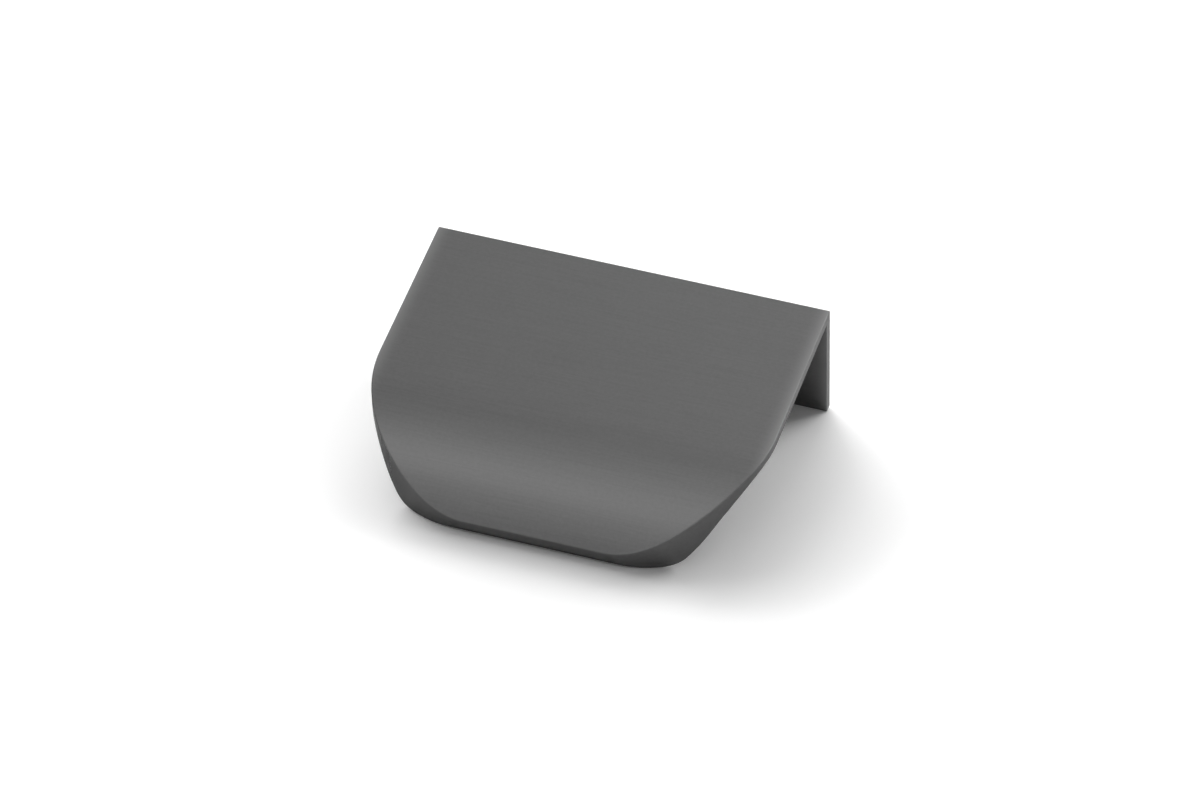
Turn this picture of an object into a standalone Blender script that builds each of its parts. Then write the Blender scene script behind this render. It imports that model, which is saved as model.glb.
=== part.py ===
# An edge pull for a drawer front or cabinet door, in dark anodised aluminium, 60 mm wide.
# One solid: an extruded section with a screw flange, a flat plate and a drooping lip is cut
# along its plan outline, which rounds both front corners, then the edges are broken and two
# countersunk screw holes go through the flange. Metres, +Z up, X along the length and the
# lip towards -Y. The section is drawn square, and the finished pull is turned to lie as it
# comes to rest on a table, on its flange's lower edge and its lip.
import math

import bmesh
import bpy

# Overall
LENGTH = 0.060  # along X
DEPTH = 0.0477  # back of the flange to the front of the lip
FLANGE_HEIGHT = 0.020  # top of the plate to the flange's lower edge
FLANGE_WALL = 0.0014
PLATE_WALL = 0.0014

# Lip, in the section
BEND_RADIUS = 0.0176  # the plate's top curves down over this
BEND_ANGLE = math.radians(58.5)  # how steep the top is where it meets the front band
FRONT_BAND = 0.00035  # upright strip between the top and the nose
NOSE_RADIUS = 0.0022  # rounds the lip under, from the front band to the finger hollow
HOLLOW_RADIUS = 0.0125  # finger hollow, from the plate's underside down into the lip
HOLLOW_ANGLE = math.radians(52.5)  # slope of the lip's inner face

# Front corners, a quarter of an ellipse each in plan
CORNER_WIDTH = 0.0198  # along X
CORNER_DEPTH = 0.0220  # along Y
CORNER_STEP = math.radians(3.75)

# Screw holes in the flange, countersunk from the back
SCREW_SPACING = 0.032
SCREW_HOLE = 0.0040  # diameter
SCREW_HEAD = 0.0064  # diameter of the countersink at the flange's back
COUNTERSINK_ANGLE = math.radians(90)
SCREW_SIDES = 32

# Edges
EDGE_BREAK = 0.00035
EDGE_SEGMENTS = 3
EDGE_LIMIT = math.radians(20)  # sharper edges than this are broken, facets of a curve aren't

# Cutters stand out of what they cut by this much
CLEAR = 0.002

# Dark grey anodised finish
COLOUR = (0.140, 0.141, 0.144, 1.0)
METALLIC = 0.85
ROUGHNESS = 0.42

# Places worked out from the sizes. A section point is (depth behind the flange's back, height).
BEND_START = DEPTH - BEND_RADIUS * math.sin(BEND_ANGLE)
FRONT_TOP = -BEND_RADIUS * (1 - math.cos(BEND_ANGLE))
NOSE_CENTRE = (DEPTH - NOSE_RADIUS, FRONT_TOP - FRONT_BAND)
NOSE_START = (
    NOSE_CENTRE[0] - NOSE_RADIUS * math.sin(HOLLOW_ANGLE),
    NOSE_CENTRE[1] - NOSE_RADIUS * math.cos(HOLLOW_ANGLE),
)
SLOPE_TOP = -PLATE_WALL - HOLLOW_RADIUS * (1 - math.cos(HOLLOW_ANGLE))
SLOPE_START = NOSE_START[0] - (SLOPE_TOP - NOSE_START[1]) / math.tan(HOLLOW_ANGLE)
HOLLOW_START = SLOPE_START - HOLLOW_RADIUS * math.sin(HOLLOW_ANGLE)
CORNER_START = DEPTH - CORNER_DEPTH


# Height of the plate's and the lip's top at a depth.
def top_height(depth):
    past = max(0.0, depth - BEND_START)
    return math.sqrt(BEND_RADIUS**2 - past**2) - BEND_RADIUS


# Height of the underside at a depth: plate, finger hollow, the lip's inner face, nose.
def underside_height(depth):
    if depth <= HOLLOW_START:
        return -PLATE_WALL
    if depth <= SLOPE_START:
        rise = math.sqrt(HOLLOW_RADIUS**2 - (depth - HOLLOW_START) ** 2)
        return -PLATE_WALL - HOLLOW_RADIUS + rise
    if depth <= NOSE_START[0]:
        return SLOPE_TOP - (depth - SLOPE_START) * math.tan(HOLLOW_ANGLE)
    across = min(NOSE_RADIUS, abs(depth - NOSE_CENTRE[0]))
    return NOSE_CENTRE[1] - math.sqrt(NOSE_RADIUS**2 - across**2)


# Depths through the corner that the section and the outline share, so that the cut edge has
# its points where the section's facets meet. Each stretch of the section gets whole steps.
def shared_depths():
    marks = [CORNER_START, DEPTH]
    for mark in (BEND_START, HOLLOW_START, SLOPE_START, NOSE_START[0], NOSE_CENTRE[0]):
        if CORNER_START < mark < DEPTH:
            marks.append(mark)
    angles = sorted(math.asin((mark - CORNER_START) / CORNER_DEPTH) for mark in marks)
    depths = [CORNER_START]
    for low, high in zip(angles, angles[1:]):
        steps = max(1, round((high - low) / CORNER_STEP))
        for step in range(1, steps + 1):
            angle = low + (high - low) * step / steps
            depths.append(CORNER_START + CORNER_DEPTH * math.sin(angle))
    depths[-1] = DEPTH
    return depths


# Depths of the section's points between two depths, also where no corner is cut.
def section_depths(start, end):
    depths = [depth for depth in shared_depths() if start < depth < end]
    behind = CORNER_START - start
    steps = max(0, math.ceil(behind / (CORNER_DEPTH * CORNER_STEP)))
    return [start + behind * step / steps for step in range(1, steps + 1)] + depths


# The closed section as (depth, height), along the top to the front and back underneath.
def section_points():
    points = [(0.0, 0.0), (BEND_START, 0.0)]
    points += [(d, top_height(d)) for d in section_depths(BEND_START, DEPTH - EDGE_BREAK)]
    points += [(DEPTH, FRONT_TOP), (DEPTH, NOSE_CENTRE[1])]
    points += [(d, underside_height(d)) for d in reversed(section_depths(HOLLOW_START, DEPTH))]
    points += [(HOLLOW_START, -PLATE_WALL), (FLANGE_WALL, -PLATE_WALL)]
    points += [(FLANGE_WALL, -FLANGE_HEIGHT), (0.0, -FLANGE_HEIGHT)]
    return points


# Half of the plan outline as (x, depth), from the back round one corner to the front.
def half_outline():
    points = [(LENGTH / 2, -CLEAR)]
    for depth in shared_depths():
        across = min(1.0, (depth - CORNER_START) / CORNER_DEPTH)
        inset = CORNER_WIDTH * (1 - math.sqrt(1 - across**2))
        points.append((LENGTH / 2 - inset, depth))
    points.append((LENGTH / 2 - CORNER_WIDTH, DEPTH + CLEAR))
    return points


# A prism from a closed outline of vectors, pulled along one vector.
def prism(name, outline, pull):
    mesh = bpy.data.meshes.new(name)
    model = bmesh.new()
    face = model.faces.new([model.verts.new(point) for point in outline])
    pulled = bmesh.ops.extrude_face_region(model, geom=[face])
    moved = [item for item in pulled["geom"] if isinstance(item, bmesh.types.BMVert)]
    bmesh.ops.translate(model, verts=moved, vec=pull)
    bmesh.ops.recalc_face_normals(model, faces=model.faces)
    model.to_mesh(mesh)
    model.free()
    piece = bpy.data.objects.new(name, mesh)
    bpy.context.collection.objects.link(piece)
    return piece


# The extruded bar, a little longer than the pull.
def make_bar():
    reach = LENGTH / 2 + CLEAR
    outline = [(-reach, -depth, height) for depth, height in section_points()]
    return prism("pull", outline, (2 * reach, 0, 0))


# What the cut along the plan outline keeps.
def make_outline_cutter():
    half = half_outline()
    across = half + [(-x, depth) for x, depth in reversed(half)]
    outline = [(x, -depth, -FLANGE_HEIGHT - CLEAR) for x, depth in across]
    return as_cutter(prism("plan_outline", outline, (0, 0, FLANGE_HEIGHT + 2 * CLEAR)))


# A countersunk hole through the flange at one x: a cone at the back, then a straight bore.
def make_screw_cutter(name, x):
    slope = math.tan(COUNTERSINK_ANGLE / 2)
    sink = (SCREW_HEAD - SCREW_HOLE) / 2 / slope
    profile = [
        (0.0, CLEAR),
        (SCREW_HEAD / 2 + CLEAR * slope, CLEAR),
        (SCREW_HOLE / 2, -sink),
        (SCREW_HOLE / 2, -FLANGE_WALL - CLEAR),
        (0.0, -FLANGE_WALL - CLEAR),
    ]
    height = -(FLANGE_HEIGHT + PLATE_WALL) / 2
    model = bmesh.new()
    verts = [model.verts.new((x + radius, along, height)) for radius, along in profile]
    edges = [model.edges.new(pair) for pair in zip(verts, verts[1:])]
    bmesh.ops.spin(
        model, geom=verts + edges, cent=(x, 0, height), axis=(0, 1, 0),
        angle=math.tau, steps=SCREW_SIDES, use_merge=True,
    )
    bmesh.ops.remove_doubles(model, verts=model.verts, dist=0.00001)
    bmesh.ops.recalc_face_normals(model, faces=model.faces)
    mesh = bpy.data.meshes.new(name)
    model.to_mesh(mesh)
    model.free()
    cutter = bpy.data.objects.new(name, mesh)
    bpy.context.collection.objects.link(cutter)
    return as_cutter(cutter)


def as_cutter(piece):
    piece.hide_render = True
    piece.display_type = "WIRE"
    return piece


def cut(piece, cutter, operation):
    step = piece.modifiers.new(cutter.name, "BOOLEAN")
    step.operation = operation
    step.solver = "EXACT"
    step.object = cutter


# Breaks every sharp edge, and fills the corner between plate and flange a little.
def break_edges(piece):
    step = piece.modifiers.new("broken_edges", "BEVEL")
    step.width = EDGE_BREAK
    step.segments = EDGE_SEGMENTS
    step.limit_method = "ANGLE"
    step.angle_limit = EDGE_LIMIT
    step.loop_slide = False


# Angle at which the pull lies on a table, on the flange's inner lower edge and the nose.
def rest_angle():
    back = (FLANGE_WALL - EDGE_BREAK, EDGE_BREAK - FLANGE_HEIGHT)
    forward = NOSE_CENTRE[0] - back[0]
    above = NOSE_CENTRE[1] - back[1]
    apart = math.hypot(forward, above)
    return math.atan2(above, forward) - math.asin((NOSE_RADIUS - EDGE_BREAK) / apart)


def anodised_aluminium():
    material = bpy.data.materials.new("dark_anodised_aluminium")
    material.use_nodes = True
    shader = material.node_tree.nodes["Principled BSDF"]
    shader.inputs["Base Color"].default_value = COLOUR
    shader.inputs["Metallic"].default_value = METALLIC
    shader.inputs["Roughness"].default_value = ROUGHNESS
    return material


def build():
    for old in list(bpy.data.objects):
        bpy.data.objects.remove(old)
    pull = make_bar()
    parts = [pull, make_outline_cutter()]
    cut(pull, parts[1], "INTERSECT")
    break_edges(pull)
    for side, name in ((-1, "left_screw_hole"), (1, "right_screw_hole")):
        cutter = make_screw_cutter(name, side * SCREW_SPACING / 2)
        parts.append(cutter)
        cut(pull, cutter, "DIFFERENCE")
    pull.data.materials.append(anodised_aluminium())
    pull.data.shade_smooth()
    pull.data.set_sharp_from_angle(angle=EDGE_LIMIT)

    # All of it hangs from one empty, which turns it to its rest and centres it on the origin.
    angle = rest_angle()
    lowest = NOSE_CENTRE[1] * math.cos(angle) - NOSE_CENTRE[0] * math.sin(angle) - NOSE_RADIUS
    back = FLANGE_HEIGHT * math.sin(angle)
    front = -DEPTH * math.cos(angle) - FRONT_TOP * math.sin(angle)
    table = bpy.data.objects.new("table", None)
    bpy.context.collection.objects.link(table)
    table.rotation_euler.x = angle
    table.location = (0, -(back + front) / 2, -lowest)
    for part in parts:
        part.parent = table


build()
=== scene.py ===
# A short edge pull in dark anodised aluminium, lying on a white table in soft studio light.
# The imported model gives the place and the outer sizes. Its one solid is replaced by a finer
# one of the same form, with smooth curves and true rounding on its edges.
import math

import bmesh
import bpy
from mathutils import Matrix, Vector


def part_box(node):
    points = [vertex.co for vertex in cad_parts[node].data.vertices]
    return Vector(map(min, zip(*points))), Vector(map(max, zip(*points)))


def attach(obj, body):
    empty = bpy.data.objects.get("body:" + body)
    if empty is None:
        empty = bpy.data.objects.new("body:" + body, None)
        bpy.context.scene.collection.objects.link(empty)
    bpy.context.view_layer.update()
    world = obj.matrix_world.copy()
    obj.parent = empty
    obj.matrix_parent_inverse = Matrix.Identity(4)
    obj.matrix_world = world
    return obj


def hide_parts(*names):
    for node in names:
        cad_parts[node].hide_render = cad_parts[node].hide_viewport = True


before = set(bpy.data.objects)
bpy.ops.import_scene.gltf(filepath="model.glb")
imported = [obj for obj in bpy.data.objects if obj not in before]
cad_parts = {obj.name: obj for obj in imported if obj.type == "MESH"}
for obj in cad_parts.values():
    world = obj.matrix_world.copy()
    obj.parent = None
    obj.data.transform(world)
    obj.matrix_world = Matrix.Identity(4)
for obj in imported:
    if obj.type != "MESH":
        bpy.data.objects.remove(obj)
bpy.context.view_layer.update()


def toLinear(hexColour):
    channels = [int(hexColour[i:i + 2], 16) / 255 for i in (1, 3, 5)]
    return [c / 12.92 if c <= 0.04045 else ((c + 0.055) / 1.055) ** 2.4 for c in channels] + [1]


# Adds a node. Settings are the node's own or its sockets' values, links are (socket, source).
def addNode(tree, kind, links=(), **settings):
    node = tree.nodes.new(kind)
    for name, value in settings.items():
        if hasattr(node, name):
            setattr(node, name, value)
        else:
            node.inputs[name.replace("_", " ")].default_value = value
    for socket, source in links:
        tree.links.new(source, node.inputs[socket])
    return node


def newObject(name, bm):
    mesh = bpy.data.meshes.new(name)
    bmesh.ops.recalc_face_normals(bm, faces=bm.faces)
    bm.to_mesh(mesh)
    bm.free()
    thing = bpy.data.objects.new(name, mesh)
    bpy.context.scene.collection.objects.link(thing)
    return thing


pull = {
    "length": 0.0600,  # metres, along X
    "depth": 0.0477,  # back of the flange to the front of the lip
    "flangeHeight": 0.0200,
    "wall": 0.0014,  # flange and plate
    "leadRadius": 0.0800,  # the plate's top starts to droop over this
    "leadAngle": 3.0,  # degrees
    "bendRadius": 0.01742,  # then it turns down over this
    "bendAngle": 58.5,  # degrees
    "noseTop": 0.00035,  # centre of the nose's big rounding, below the front band's top
    "noseRadius": 0.0022,  # at the finger side
    "toeRadius": 0.0011,  # at the front, with a narrow flat on the table between the two
    "hollowRadius": 0.0125,  # finger hollow under the lip
    "hollowAngle": 52.5,  # degrees
    "cornerWidth": 0.0194,  # front corners, a quarter ellipse each
    "cornerDepth": 0.0215,
    "cornerStep": 1.6,  # degrees for each facet of a corner
    "edgeRounding": 0.00016,
    "edgeSteps": 3,
    "edgeLimit": 20,  # degrees, sharper edges are rounded
    "screwSpacing": 0.032,
    "screwHole": 0.0040,
    "screwHead": 0.0064,
    "screwSides": 96,
    "rimRounding": 0.00008,  # of the screw holes' rims
    "rimSteps": 2,
    "rimLimit": 40,  # degrees
    "shadeLimit": 35,  # degrees, where the shading breaks
    "margin": 0.002,  # how far the cutters stand out
    "rest": 11.456561,  # degrees that it leans forward, lying on its lower edge and its lip
}


# A point low on a rounding, so many degrees forward of straight down.
def lowOn(centre, radius, degrees):
    angle = math.radians(degrees)
    return centre[0] + radius * math.sin(angle), centre[1] - radius * math.cos(angle)


# The section's marks as (depth, height), height 0 at the plate's top.
def sectionMarks():
    p = pull
    lead, bend = math.radians(p["leadAngle"]), math.radians(p["bendAngle"])
    hollow, rest = math.radians(p["hollowAngle"]), math.radians(p["rest"])
    leadFall = p["leadRadius"] * (1 - math.cos(lead))
    bendFall = p["bendRadius"] * (math.cos(lead) - math.cos(bend))
    bendStart = p["depth"] - p["bendRadius"] * (math.sin(bend) - math.sin(lead))
    nose = (p["depth"] - p["noseRadius"], -leadFall - bendFall - p["noseTop"])
    noseTouch = lowOn(nose, p["noseRadius"], p["rest"])
    toeDepth = p["depth"] - p["toeRadius"]
    touchDepth = toeDepth + p["toeRadius"] * math.sin(rest)
    touchHeight = noseTouch[1] + (touchDepth - noseTouch[0]) * math.tan(rest)
    inner = lowOn(nose, p["noseRadius"], -p["hollowAngle"])
    slopeTop = -p["wall"] - p["hollowRadius"] * (1 - math.cos(hollow))
    slopeDepth = inner[0] - (slopeTop - inner[1]) / math.tan(hollow)
    return {
        "leadStart": (bendStart - p["leadRadius"] * math.sin(lead), 0),
        "bendStart": (bendStart, -leadFall),
        "frontTop": (p["depth"], -leadFall - bendFall),
        "nose": nose,  # centre of its rounding
        "noseTouch": noseTouch,  # the flat that lies on the table, from here
        "toeTouch": (touchDepth, touchHeight),  # to here
        "toe": (toeDepth, touchHeight + p["toeRadius"] * math.cos(rest)),  # centre of its rounding
        "inner": inner,  # where the nose meets the finger hollow's slope
        "slope": (slopeDepth, slopeTop),
        "hollow": (slopeDepth - p["hollowRadius"] * math.sin(hollow), -p["wall"]),
    }


# Height of the plate's and the lip's top, so deep in front of the flange's back.
def topHeight(depth, marks):
    p = pull
    past = max(0, depth - marks["leadStart"][0])
    if depth <= marks["bendStart"][0]:
        return math.sqrt(p["leadRadius"] ** 2 - past ** 2) - p["leadRadius"]
    lead = math.radians(p["leadAngle"])
    past = depth - marks["bendStart"][0] + p["bendRadius"] * math.sin(lead)
    fall = p["bendRadius"] * math.cos(lead) - math.sqrt(p["bendRadius"] ** 2 - past ** 2)
    return marks["bendStart"][1] - fall


# Height of the underside: plate, finger hollow, its slope, nose, the flat on the table, toe.
def undersideHeight(depth, marks):
    p = pull
    slope, touch = marks["slope"], marks["noseTouch"]
    if depth <= slope[0]:
        past = max(0, depth - marks["hollow"][0])
        return -p["wall"] - p["hollowRadius"] + math.sqrt(p["hollowRadius"] ** 2 - past ** 2)
    if depth <= marks["inner"][0]:
        return slope[1] - (depth - slope[0]) * math.tan(math.radians(p["hollowAngle"]))
    if touch[0] < depth <= marks["toeTouch"][0]:
        return touch[1] + (depth - touch[0]) * math.tan(math.radians(p["rest"]))
    centre, radius = marks["nose"], p["noseRadius"]
    if depth > touch[0]:
        centre, radius = marks["toe"], p["toeRadius"]
    return centre[1] - math.sqrt(max(0, radius ** 2 - (depth - centre[0]) ** 2))


# Depths that the section and the plan outline share, so that the rim gets no tiny edges.
def cornerDepths(marks):
    p = pull
    start = p["depth"] - p["cornerDepth"]
    names = ("leadStart", "bendStart", "hollow", "slope", "inner", "noseTouch", "toeTouch")
    stops = [start, p["depth"]] + [marks[name][0] for name in names]
    angles = sorted(
        math.asin((stop - start) / p["cornerDepth"]) for stop in stops if start <= stop
    )
    depths = [start]
    for low, high in zip(angles, angles[1:]):
        steps = max(1, round(math.degrees(high - low) / p["cornerStep"]))
        for step in range(1, steps + 1):
            angle = low + (high - low) * step / steps
            depths.append(start + p["cornerDepth"] * math.sin(angle))
    return depths[:-1] + [p["depth"]]


def lineTo(bm, vert, *place):
    made = bmesh.ops.extrude_vert_indiv(bm, verts=[vert])["verts"][0]
    made.co = Vector(place)
    return made


# Closes the line into a face and pulls it out along one vector.
def pullOut(bm, along):
    bmesh.ops.contextual_create(bm, geom=bm.edges[:])
    pulled = bmesh.ops.extrude_face_region(bm, geom=bm.faces[:])["geom"]
    moved = [item for item in pulled if isinstance(item, bmesh.types.BMVert)]
    bmesh.ops.translate(bm, verts=moved, vec=along)


# The section, drawn from the back along the top, round the nose and back underneath.
def makeBar(marks):
    p = pull
    depths = cornerDepths(marks)
    leadStart, hollowStart = marks["leadStart"][0], marks["hollow"][0]
    over = [d for d in depths if leadStart < d < p["depth"] - p["edgeRounding"]]
    under = [d for d in depths if hollowStart < d < p["depth"]]
    x = -p["length"] / 2 - p["margin"]

    bm = bmesh.new()
    start = bm.verts.new((x, 0, 0))
    at = lineTo(bm, start, x, -leadStart, 0)
    for depth in over:
        at = lineTo(bm, at, x, -depth, topHeight(depth, marks))
    at = lineTo(bm, at, x, -p["depth"], marks["frontTop"][1])
    at = lineTo(bm, at, x, -p["depth"], marks["toe"][1])
    for depth in reversed(under):
        at = lineTo(bm, at, x, -depth, undersideHeight(depth, marks))
    for depth, height in (
        (hollowStart, -p["wall"]), (p["wall"], -p["wall"]),
        (p["wall"], -p["flangeHeight"]), (0, -p["flangeHeight"]),
    ):
        at = lineTo(bm, at, x, -depth, height)
    bm.edges.new((at, start))
    pullOut(bm, (-2 * x, 0, 0))
    return newObject("pullBody", bm)


# Plan outline: straight sides and a quarter ellipse at each front corner.
def makeOutline(marks):
    p = pull
    start = p["depth"] - p["cornerDepth"]
    bm = bmesh.new()
    back = at = bm.verts.new((p["length"] / 2, p["margin"], 0))
    for depth in cornerDepths(marks):
        across = min(1, (depth - start) / p["cornerDepth"])
        inset = p["cornerWidth"] * (1 - math.sqrt(1 - across ** 2))
        at = lineTo(bm, at, p["length"] / 2 - inset, -depth, 0)
    ahead = lineTo(bm, at, at.co.x, -p["depth"] - p["margin"], 0)
    copied = bmesh.ops.mirror(bm, geom=bm.verts[:] + bm.edges[:], axis="X", merge_dist=0)["geom"]
    for end in (back, ahead):
        other = min(
            (v for v in copied if isinstance(v, bmesh.types.BMVert)),
            key=lambda v: (v.co - Vector((-end.co.x, end.co.y, 0))).length,
        )
        bm.edges.new((end, other))
    bmesh.ops.translate(bm, verts=bm.verts, vec=(0, 0, -p["flangeHeight"] - p["margin"]))
    pullOut(bm, (0, 0, p["flangeHeight"] + 2 * p["margin"]))
    return newObject("planOutline", bm)


# A countersunk hole through the flange, spun round its own axis.
def makeScrewHole(x):
    p = pull
    sink = (p["screwHead"] - p["screwHole"]) / 2
    bm = bmesh.new()
    at = bm.verts.new((0, p["margin"], 0))
    for radius, along in (
        (p["screwHead"] / 2 + p["margin"], p["margin"]), (p["screwHole"] / 2, -sink),
        (p["screwHole"] / 2, -p["wall"] - p["margin"]), (0, -p["wall"] - p["margin"]),
    ):
        at = lineTo(bm, at, radius, along, 0)
    bmesh.ops.spin(
        bm, geom=bm.verts[:] + bm.edges[:], cent=(0, 0, 0), axis=(0, 1, 0),
        angle=math.tau, steps=p["screwSides"], use_merge=True, use_duplicate=False,
    )
    bmesh.ops.remove_doubles(bm, verts=bm.verts, dist=1e-6)
    bmesh.ops.translate(bm, verts=bm.verts, vec=(x, 0, -(p["flangeHeight"] + p["wall"]) / 2))
    return newObject("screwHole", bm)


def applyModifiers(piece):
    bpy.context.view_layer.update()
    graph = bpy.context.evaluated_depsgraph_get()
    mesh = bpy.data.meshes.new_from_object(piece.evaluated_get(graph))
    piece.modifiers.clear()
    piece.data = mesh


def cutBy(piece, cutter, operation):
    step = piece.modifiers.new(cutter.name, "BOOLEAN")
    step.operation = operation
    step.solver = "EXACT"
    step.object = cutter
    applyModifiers(piece)
    bpy.data.objects.remove(cutter)


def roundEdges(piece, width, steps, limit):
    step = piece.modifiers.new("rounding", "BEVEL")
    step.width = width
    step.segments = steps
    step.limit_method = "ANGLE"
    step.angle_limit = math.radians(limit)
    step.loop_slide = False
    applyModifiers(piece)


# Leans it forward to its rest, then sets it exactly into the CAD solid's box.
def layDown(piece):
    piece.data.transform(Matrix.Rotation(math.radians(pull["rest"]), 4, "X"))
    low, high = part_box("pull")
    for axis in range(3):
        seen = [v.co[axis] for v in piece.data.vertices]
        scale = (high[axis] - low[axis]) / (max(seen) - min(seen))
        for v in piece.data.vertices:
            v.co[axis] = low[axis] + (v.co[axis] - min(seen)) * scale


def makePull():
    p = pull
    marks = sectionMarks()
    piece = makeBar(marks)
    cutBy(piece, makeOutline(marks), "INTERSECT")
    roundEdges(piece, p["edgeRounding"], p["edgeSteps"], p["edgeLimit"])
    for side in (-1, 1):
        cutBy(piece, makeScrewHole(side * p["screwSpacing"] / 2), "DIFFERENCE")
    roundEdges(piece, p["rimRounding"], p["rimSteps"], p["rimLimit"])
    layDown(piece)
    piece.data.shade_smooth()
    piece.data.set_sharp_from_angle(angle=math.radians(p["shadeLimit"]))
    flat = piece.modifiers.new("flatFaces", "WEIGHTED_NORMAL")
    flat.keep_sharp = True
    applyModifiers(piece)
    return piece


aluminium = {
    "colour": "#626262",
    "colourLight": "#686868",  # along the brush lines
    "colourEndHighlight": "#828282",  # painted highlight at the ends, in place of the light on the rounded end edges
    "roughness": 0.42,
    "roughnessSpread": 0.03,
    "lineWidth": 0.00012,  # metres, real brush lines are about 0.03 mm, too fine to show
    "lineLength": 0.006,
    "lineDetail": 3.0,
    "grain": 0.00025,  # metres, the satin's soft grain, also coarser than real so that it shows
    "grainDetail": 2.0,
    "patternLow": 0.7,  # lines and grain together, at the dark end
    "patternHigh": 1.3,
    "bump": 0.000002,  # metres deep
    "endHighlightWidth": 0.0030,  # metres in from the end
    "endHighlightCurve": 2.5,  # how late it sets in
    "edgeColour": "#707070",  # of what it mirrors at a glancing angle, dark through the dye
    "coat": 0.25,
    "coatRoughness": 0.20,
}


# Painted highlight: from 0 inside to 1 at both ends of the length, where the rounded end edges
# catch the light.
def makeEndHighlight(tree, across):
    fromMiddle = addNode(tree, "ShaderNodeMath", [(0, across)], operation="ABSOLUTE")
    near = addNode(
        tree, "ShaderNodeMapRange", [("Value", fromMiddle.outputs[0])],
        From_Min=pull["length"] / 2 - aluminium["endHighlightWidth"], From_Max=pull["length"] / 2,
    )
    highlight = addNode(tree, "ShaderNodeMath", [(0, near.outputs["Result"])], operation="POWER")
    highlight.inputs[1].default_value = aluminium["endHighlightCurve"]
    return highlight.outputs[0]


# Dark grey anodised aluminium, brushed along its length before it was anodised. The oxide is
# a thin clear coat over the metal, so there is a soft sheen on a nearly matt grey.
def makeAluminium():
    a = aluminium
    material = bpy.data.materials.new("darkAnodisedAluminium")
    material.use_nodes = True
    tree = material.node_tree
    shader = tree.nodes["Principled BSDF"]
    shader.inputs["Metallic"].default_value = 1.0
    shader.inputs["Specular Tint"].default_value = toLinear(a["edgeColour"])
    shader.inputs["Coat Weight"].default_value = a["coat"]
    shader.inputs["Coat Roughness"].default_value = a["coatRoughness"]
    place = addNode(tree, "ShaderNodeTexCoord").outputs["Object"]
    turn = addNode(
        tree, "ShaderNodeMapping", [("Vector", place)],
        Rotation=(-math.radians(pull["rest"]), 0, 0),
        Scale=(a["lineWidth"] / a["lineLength"], 1, 1),
    )
    lines = addNode(
        tree, "ShaderNodeTexNoise", [("Vector", turn.outputs["Vector"])],
        Scale=1 / a["lineWidth"] / 2, Detail=a["lineDetail"],
    )
    grain = addNode(
        tree, "ShaderNodeTexNoise", [("Vector", place)],
        Scale=1 / a["grain"] / 2, Detail=a["grainDetail"],
    )
    both = addNode(
        tree, "ShaderNodeMath", [(0, lines.outputs["Fac"]), (1, grain.outputs["Fac"])],
        operation="ADD",
    )
    pattern = addNode(
        tree, "ShaderNodeMapRange", [("Value", both.outputs[0])],
        From_Min=a["patternLow"], From_Max=a["patternHigh"],
    )
    colour = addNode(
        tree, "ShaderNodeMix", [("Factor", pattern.outputs["Result"])], data_type="RGBA",
    )
    colour.inputs[6].default_value = toLinear(a["colour"])
    colour.inputs[7].default_value = toLinear(a["colourLight"])
    apart = addNode(tree, "ShaderNodeSeparateXYZ", [("Vector", place)])
    # Both ends are painted lighter, a painted highlight for the light on the rounded end edges.
    paintedEnds = addNode(
        tree, "ShaderNodeMix",
        [("Factor", makeEndHighlight(tree, apart.outputs["X"])), (6, colour.outputs[2])],
        data_type="RGBA",
    )
    paintedEnds.inputs[7].default_value = toLinear(a["colourEndHighlight"])
    tree.links.new(paintedEnds.outputs[2], shader.inputs["Base Color"])
    rough = addNode(
        tree, "ShaderNodeMapRange", [("Value", pattern.outputs["Result"])],
        To_Min=a["roughness"] - a["roughnessSpread"], To_Max=a["roughness"] + a["roughnessSpread"],
    )
    tree.links.new(rough.outputs["Result"], shader.inputs["Roughness"])
    bump = addNode(
        tree, "ShaderNodeBump", [("Height", both.outputs[0])], Strength=1.0, Distance=a["bump"],
    )
    tree.links.new(bump.outputs["Normal"], shader.inputs["Normal"])
    return material


table = {
    "colour": "#F4F4F4",
    "seenGain": 1.19,  # the camera and the metal see it this much brighter, white as a page
    "radius": 1.0,  # metres, well inside the light of its lamps
    "sides": 64,
}


# Matt white painted board, with no sheen of its own, so that only the soft shadow shows on it.
def makeBoard():
    material = bpy.data.materials.new("mattWhiteBoard")
    material.use_nodes = True
    tree = material.node_tree
    shader = tree.nodes["Principled BSDF"]
    shader.inputs["Base Color"].default_value = toLinear(table["colour"])
    shader.inputs["Roughness"].default_value = 1.0
    shader.inputs["Specular IOR Level"].default_value = 0.0
    rays = addNode(tree, "ShaderNodeLightPath")
    inSight = addNode(
        tree, "ShaderNodeMath",
        [(0, rays.outputs["Is Camera Ray"]), (1, rays.outputs["Is Glossy Ray"])],
        operation="MAXIMUM",
    )
    seen = addNode(tree, "ShaderNodeBsdfDiffuse")
    seen.inputs["Color"].default_value = [c * table["seenGain"] for c in toLinear(table["colour"])]
    mixed = addNode(
        tree, "ShaderNodeMixShader",
        [(0, inSight.outputs[0]), (1, shader.outputs[0]), (2, seen.outputs[0])],
    )
    tree.links.new(mixed.outputs[0], tree.nodes["Material Output"].inputs["Surface"])
    return material


def makeTable():
    bm = bmesh.new()
    bmesh.ops.create_circle(
        bm, cap_ends=True, segments=table["sides"], radius=table["radius"],
    )
    sheet = newObject("table", bm)
    sheet.data.materials.append(makeBoard())


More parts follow.
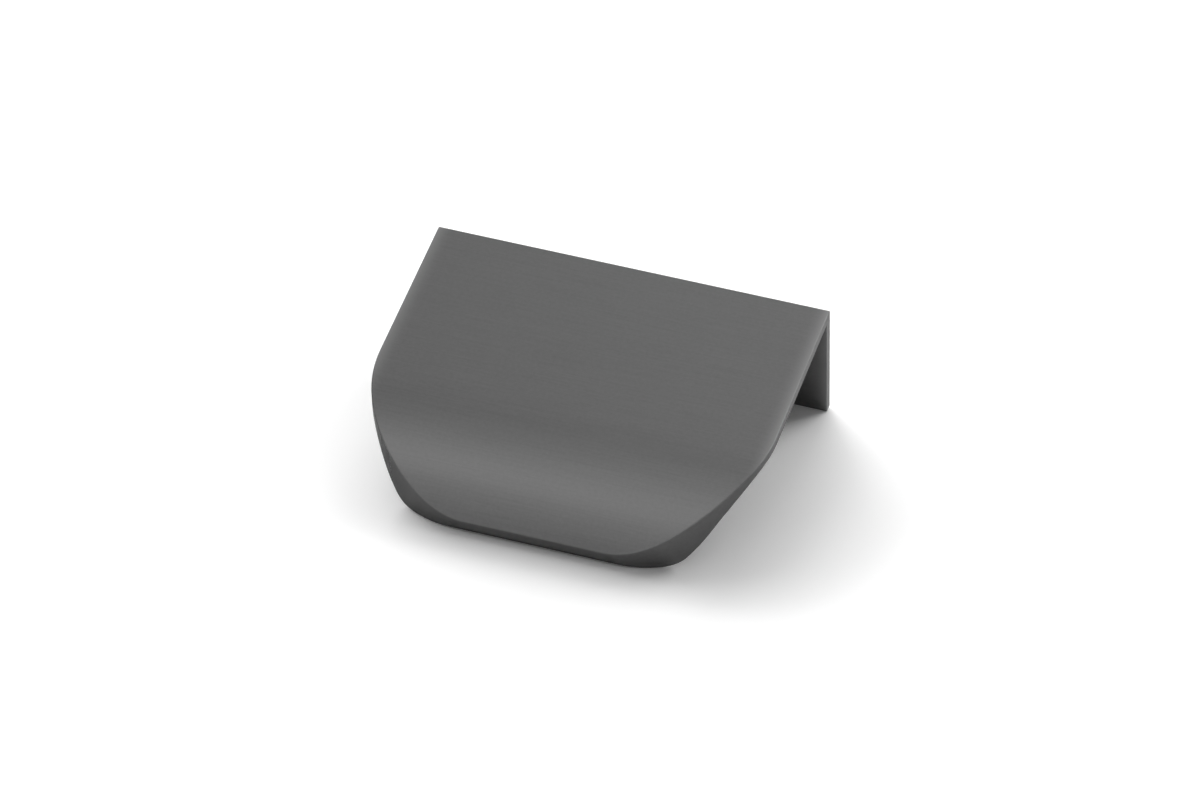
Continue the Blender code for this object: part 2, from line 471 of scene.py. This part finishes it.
# A soft box: degrees round from the front, degrees up, metres away, metres wide, level.
studio = {
    "tableRoom": 0.25,  # the room's light on the table, 1 is white
    "metalRoom": 0.50,  # what the metal sees all round
    "tableBoxes": [  # mostly from behind, so that the shadow comes forward
        (195, 30, 2.0, 1.2, 4.5),
        (230, 25, 2.0, 1.2, 5.5),
        (270, 25, 2.0, 1.2, 1.6),
        (145, 25, 2.0, 1.2, 4.2),
        (235, 50, 2.0, 1.2, 1.6),
        (150, 50, 2.0, 1.2, 1.2),
    ],
    "metalBoxes": [  # from above and in front, for the sheen on the lip, and from behind
        (0, 90, 0.7, 0.45, 0.72),
        (0, 60, 0.7, 0.45, 0.75),
        (0, 30, 0.7, 0.45, 0.70),
        (45, 15, 0.7, 0.45, 0.50),
        (315, 45, 0.7, 0.45, 0.85),
        (190, 30, 0.7, 0.45, 2.40),
        (145, 50, 0.7, 0.45, 1.60),
    ],
}


# Towards a place in the sky, as seen from the pull.
def direction(azimuth, elevation):
    a, e = math.radians(azimuth), math.radians(elevation)
    return Vector((math.sin(a) * math.cos(e), -math.cos(a) * math.cos(e), math.sin(e)))


# The camera sees plain white. The metal and the table see a pale room of even light.
def makeWorld():
    world = bpy.data.worlds.new("studio")
    bpy.context.scene.world = world
    world.use_nodes = True
    tree = world.node_tree
    tree.nodes.clear()
    rays = addNode(tree, "ShaderNodeLightPath")
    forTable = addNode(tree, "ShaderNodeBackground", Strength=studio["tableRoom"])
    forMetal = addNode(tree, "ShaderNodeBackground", Strength=studio["metalRoom"])
    white = addNode(tree, "ShaderNodeBackground", Strength=1.0)
    for light in (forTable, forMetal, white):
        light.inputs["Color"].default_value = (1, 1, 1, 1)
    lit = addNode(
        tree, "ShaderNodeMixShader",
        [(0, rays.outputs["Is Glossy Ray"]), (1, forTable.outputs[0]), (2, forMetal.outputs[0])],
    )
    seen = addNode(
        tree, "ShaderNodeMixShader",
        [(0, rays.outputs["Is Camera Ray"]), (1, lit.outputs[0]), (2, white.outputs[0])],
    )
    addNode(tree, "ShaderNodeOutputWorld", [("Surface", seen.outputs[0])])


# A square soft box that looks at the pull. At level 1 its face is as bright as white.
def makeSoftBox(name, onMetal, azimuth, elevation, distance, size, level):
    data = bpy.data.lights.new(name, "AREA")
    data.size = size
    data.energy = level * math.pi * size ** 2
    lamp = bpy.data.objects.new(name, data)
    bpy.context.scene.collection.objects.link(lamp)
    away = direction(azimuth, elevation)
    turn = away.to_track_quat("Z", "Y").to_matrix().to_4x4()
    lamp.matrix_world = Matrix.Translation(away * distance) @ turn
    lamp.visible_glossy = onMetal
    lamp.visible_diffuse = not onMetal


view = {
    "azimuth": 16.165,  # degrees round from the front, towards +X
    "elevation": 35.497,
    "roll": 2.891,
    "distance": 1.02425,
    "aim": (0.001756, 0.000541, 0.0099),
    "lens": 212.654,  # mm
    "sensor": 36,  # mm wide
}


def makeCamera():
    v = view
    back = direction(v["azimuth"], v["elevation"])
    data = bpy.data.cameras.new("camera")
    data.lens = v["lens"]
    data.sensor_width = v["sensor"]
    camera = bpy.data.objects.new("camera", data)
    bpy.context.scene.collection.objects.link(camera)
    turn = (-back).to_track_quat("-Z", "Y").to_matrix().to_4x4()
    roll = Matrix.Rotation(math.radians(v["roll"]), 4, "Z")
    camera.matrix_world = Matrix.Translation(Vector(v["aim"]) + back * v["distance"]) @ turn @ roll
    bpy.context.scene.camera = camera


body = makePull()
body.data.materials.clear()
body.data.materials.append(makeAluminium())
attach(body, "root")
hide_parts("pull")
print("pull made,", len(body.data.polygons), "faces")

makeTable()
makeWorld()
for name, onMetal in (("metalBoxes", True), ("tableBoxes", False)):
    for number, softBox in enumerate(studio[name], 1):
        makeSoftBox(f"{name}{number}", onMetal, *softBox)
makeCamera()
bpy.context.scene.view_settings.view_transform = "Standard"
print("table, light and camera placed")
